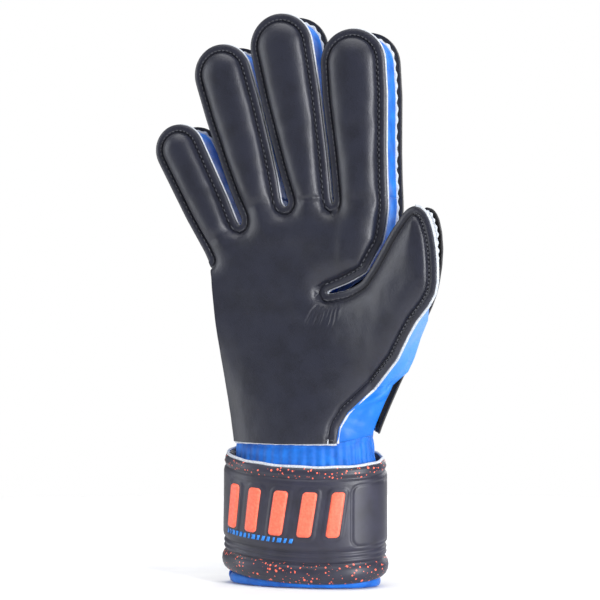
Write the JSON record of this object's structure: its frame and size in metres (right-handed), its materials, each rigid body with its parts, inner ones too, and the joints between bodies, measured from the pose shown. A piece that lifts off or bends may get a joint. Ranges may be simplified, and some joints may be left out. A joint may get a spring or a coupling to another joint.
{
  "type": "goalkeeper glove",
  "caption": "Padded right-hand goalkeeper glove with flat-cut finger stalls, blue side gussets and a wide wrapped wrist strap, held upright with its palm forward.",
  "frame": {"origin": "centre of the glove's bounding box in x and y, at the level of the cuff's hem", "axes": "+Z from the cuff towards the fingertips, -Y the way the palm faces, +X towards the thumb"},
  "size_m": [0.1486, 0.0562, 0.2714],
  "materials": {
    "latex": "matte grained foam latex",
    "foam_black": "matte embossed foam",
    "gusset_blue": "matte woven",
    "mesh_white": "open knit",
    "elastic_blue": "ribbed elastic",
    "strap_black": "satin moulded foam",
    "rubber_coral": "satin printed rubber",
    "lining_grey": "brushed knit",
    "loop_grey": "loop pile"
  },
  "bodies": {
    "cuff": {"cuff_sleeve": "elastic_blue", "cuff_binding": "elastic_blue", "wrist_elastic": "elastic_blue", "strap_lining": "loop_grey", "wrist_strap": "strap_black", "loop_patch": "loop_grey", "pull_tab": "gusset_blue", "strap_bar_1": "rubber_coral", "strap_bar_2": "rubber_coral", "strap_bar_3": "rubber_coral", "strap_bar_4": "rubber_coral", "strap_bar_5": "rubber_coral"},
    "strap_tail": {"strap_tail": "strap_black", "hook_patch": "loop_grey"},
    "hand": {"palm_panel": "latex", "palm_lining": "lining_grey", "backhand_panel": "foam_black", "backhand_lining": "lining_grey", "side_gusset_outer": "gusset_blue", "slit_gusset": "gusset_blue"},
    "thumb": {"thumb_front": "latex", "thumb_back": "foam_black", "thumb_gusset_outer_side": "mesh_white", "thumb_gusset_slit_side": "gusset_blue", "thumb_side_panel": "gusset_blue"},
    "index_lower": {"index_lower_front": "latex", "index_lower_back": "foam_black", "index_lower_gusset_thumb_side": "gusset_blue", "index_lower_gusset_outer_side": "gusset_blue"},
    "index_tip": {"index_tip_front": "latex", "index_tip_back": "foam_black", "index_tip_gusset": "gusset_blue"},
    "middle_lower": {"middle_lower_front": "latex", "middle_lower_back": "foam_black", "middle_lower_gusset_thumb_side": "gusset_blue", "middle_lower_gusset_outer_side": "gusset_blue"},
    "middle_tip": {"middle_tip_front": "latex", "middle_tip_back": "foam_black", "middle_tip_gusset": "gusset_blue"},
    "ring_lower": {"ring_lower_front": "latex", "ring_lower_back": "foam_black", "ring_lower_gusset_thumb_side": "gusset_blue", "ring_lower_gusset_outer_side": "gusset_blue"},
    "ring_tip": {"ring_tip_front": "latex", "ring_tip_back": "foam_black", "ring_tip_gusset": "gusset_blue"},
    "little_lower": {"little_lower_front": "latex", "little_lower_back": "foam_black", "little_lower_gusset_thumb_side": "gusset_blue", "little_lower_gusset_outer_side": "gusset_blue"},
    "little_tip": {"little_tip_front": "latex", "little_tip_back": "foam_black", "little_tip_gusset": "gusset_blue"}
  },
  "joints": [
    {"name": "wrist_flex", "type": "hinge", "parent": "cuff", "child": "hand", "pos_m": [-0.00165, 0.0042, 0.067], "axis": [1, 0, 0], "range_deg": [-25, 25], "stiffness_Nm_per_rad": 1.5, "deforming": ["wrist_elastic"]},
    {"name": "strap_peel", "type": "hinge", "parent": "cuff", "child": "strap_tail", "pos_m": [0.03826, 0.00867, 0.027], "axis": [0, 0, -1], "range_deg": [0, 110]},
    {"name": "thumb_fold", "type": "hinge", "parent": "hand", "child": "thumb", "pos_m": [0.01755, -0.0058, 0.1053], "axis": [-0.09, 0, 0.9959], "range_deg": [-30, 12], "stiffness_Nm_per_rad": 0.3},
    {"name": "index_knuckle", "type": "hinge", "parent": "hand", "child": "index_lower", "pos_m": [0.03145, -0.0058, 0.1804], "axis": [0.9994, 0, 0.0346], "range_deg": [-8, 60], "stiffness_Nm_per_rad": 0.15},
    {"name": "index_middle_joint", "type": "hinge", "parent": "index_lower", "child": "index_tip", "pos_m": [0.02919, -0.0058, 0.21633], "axis": [0.9994, 0, 0.0346], "range_deg": [0, 70], "stiffness_Nm_per_rad": 0.15},
    {"name": "middle_knuckle", "type": "hinge", "parent": "hand", "child": "middle_lower", "pos_m": [0.00575, -0.0058, 0.1823], "axis": [0.994, 0, 0.1092], "range_deg": [-8, 60], "stiffness_Nm_per_rad": 0.15},
    {"name": "middle_middle_joint", "type": "hinge", "parent": "middle_lower", "child": "middle_tip", "pos_m": [-0.00216, -0.0058, 0.22151], "axis": [0.994, 0, 0.1092], "range_deg": [0, 70], "stiffness_Nm_per_rad": 0.15},
    {"name": "ring_knuckle", "type": "hinge", "parent": "hand", "child": "ring_lower", "pos_m": [-0.01975, -0.0058, 0.1794], "axis": [0.9867, 0, 0.1625], "range_deg": [-8, 60], "stiffness_Nm_per_rad": 0.15},
    {"name": "ring_middle_joint", "type": "hinge", "parent": "ring_lower", "child": "ring_tip", "pos_m": [-0.02998, -0.0058, 0.21287], "axis": [0.9867, 0, 0.1625], "range_deg": [0, 70], "stiffness_Nm_per_rad": 0.15},
    {"name": "little_knuckle", "type": "hinge", "parent": "hand", "child": "little_lower", "pos_m": [-0.03895, -0.0058, 0.1626], "axis": [0.9666, 0, 0.2563], "range_deg": [-8, 60], "stiffness_Nm_per_rad": 0.15},
    {"name": "little_middle_joint", "type": "hinge", "parent": "little_lower", "child": "little_tip", "pos_m": [-0.05121, -0.0058, 0.18666], "axis": [0.9666, 0, 0.2563], "range_deg": [0, 70], "stiffness_Nm_per_rad": 0.15}
  ]
}
